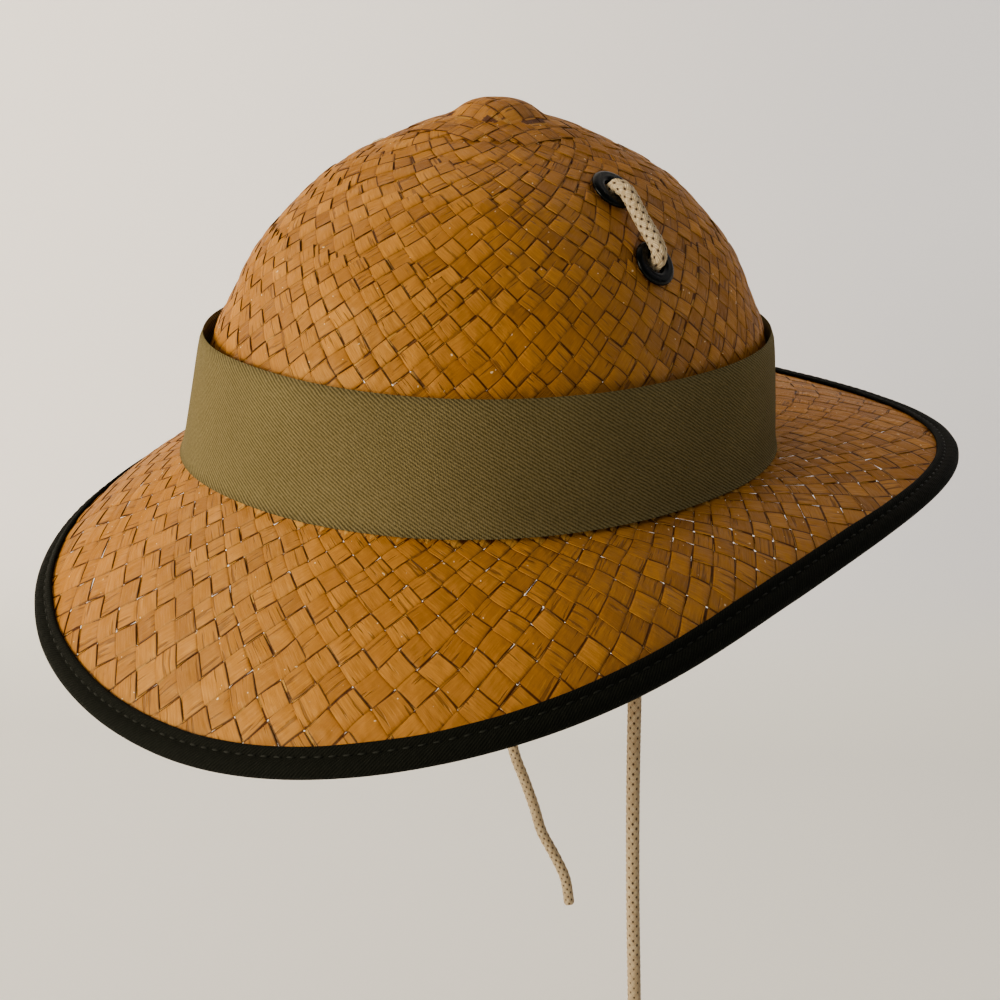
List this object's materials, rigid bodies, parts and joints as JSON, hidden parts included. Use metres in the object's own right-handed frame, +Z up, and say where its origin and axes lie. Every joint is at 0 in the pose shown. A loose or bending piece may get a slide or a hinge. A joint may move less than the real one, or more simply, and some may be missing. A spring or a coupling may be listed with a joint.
{
  "type": "woven straw pith helmet",
  "caption": "Pith helmet shaped sun hat of woven straw strips with a drooping brim, a twill hat band, a bound edge, side eyelets and a chin cord",
  "frame": {"origin": "centre of the head opening, in the plane where the crown meets the brim, where a head carries the hat", "axes": "-Y to the front of the brim, +X to the wearer's left, +Z up the crown's axis"},
  "size_m": [0.2562, 0.3339, 0.3379],
  "materials": {
    "straw": "woven palm strips under a thin golden brown varnish, satin to glossy",
    "band_twill": "matte khaki cotton twill",
    "binding_tape": "black green twill tape, faint sheen",
    "eyelet_black": "glossy black",
    "cord_cotton": "matte natural cotton braid"
  },
  "bodies": {
    "root": {"woven_body": "straw", "hat_band": "band_twill", "brim_binding": "binding_tape", "eyelet_right_upper": "eyelet_black", "eyelet_right_lower": "eyelet_black", "eyelet_left_upper": "eyelet_black", "eyelet_left_lower": "eyelet_black", "cord_crown": "cord_cotton", "cord_tail_right": "cord_cotton", "cord_tail_left": "cord_cotton"}
  },
  "joints": []
}
